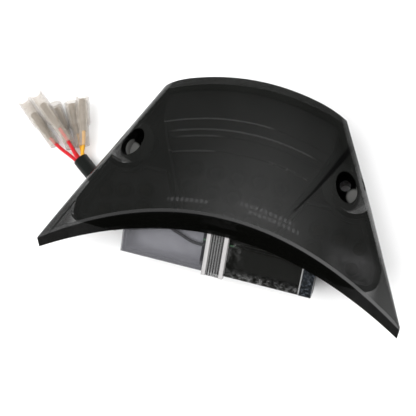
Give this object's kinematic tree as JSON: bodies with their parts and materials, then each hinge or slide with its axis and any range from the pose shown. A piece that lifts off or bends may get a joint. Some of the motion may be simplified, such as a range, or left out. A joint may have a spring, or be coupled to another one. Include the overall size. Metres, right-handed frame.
{
  "type": "motorcycle LED tail light",
  "caption": "Smoked bell-shaped motorcycle LED tail light with plate-light window, screw wells and a lead of bullet connectors.",
  "frame": {"origin": "centre of the lamp's bounding box, without the lead, on the housing's flat back", "axes": "+X across the lamp to its right seen from the front, +Y from the lens tips and window towards the narrow end, +Z out of the bodywork through the lens"},
  "size_m": [0.2241, 0.1032, 0.0362],
  "materials": {
    "smoke": "gloss",
    "black_housing": "satin",
    "clear_window": "gloss",
    "metallised": "gloss",
    "board": "matte",
    "led_clear": "gloss",
    "led_amber": "gloss",
    "steel": "satin",
    "tinned": "satin",
    "rubber": "matte",
    "sheath": "matte",
    "red_wire": "satin",
    "yellow_wire": "satin",
    "black_wire": "satin",
    "milky": "satin",
    "component": "satin"
  },
  "bodies": {
    "root": {"board_diodes": "component", "board_resistors": "component", "board_screws": "steel", "cable_grommet": "rubber", "cable_sheath": "sheath", "housing": "black_housing", "inner_leads": "red_wire", "lens_gasket": "rubber", "mounting_collars": "steel", "mounting_dampers": "rubber", "plate_lamp_board": "board", "plate_lamp_wire": "black_wire", "plate_leds": "led_clear", "plate_reflector": "metallised", "plate_window": "clear_window", "signal_board_left": "board", "signal_board_right": "board", "signal_leds_left": "led_amber", "signal_leds_right": "led_amber", "signal_reflector_left": "metallised", "signal_reflector_right": "metallised", "sleeve_red_1": "milky", "sleeve_red_2": "milky", "sleeve_red_3": "milky", "sleeve_yellow_1": "milky", "sleeve_yellow_2": "milky", "smoked_lens": "smoke", "tail_board": "board", "tail_leds": "led_clear", "tail_reflector": "metallised", "terminal_red_1": "tinned", "terminal_red_2": "tinned", "terminal_red_3": "tinned", "terminal_yellow_1": "tinned", "terminal_yellow_2": "tinned", "wire_red_1": "red_wire", "wire_red_2": "red_wire", "wire_red_3": "red_wire", "wire_yellow_1": "yellow_wire", "wire_yellow_2": "yellow_wire"}
  },
  "joints": []
}
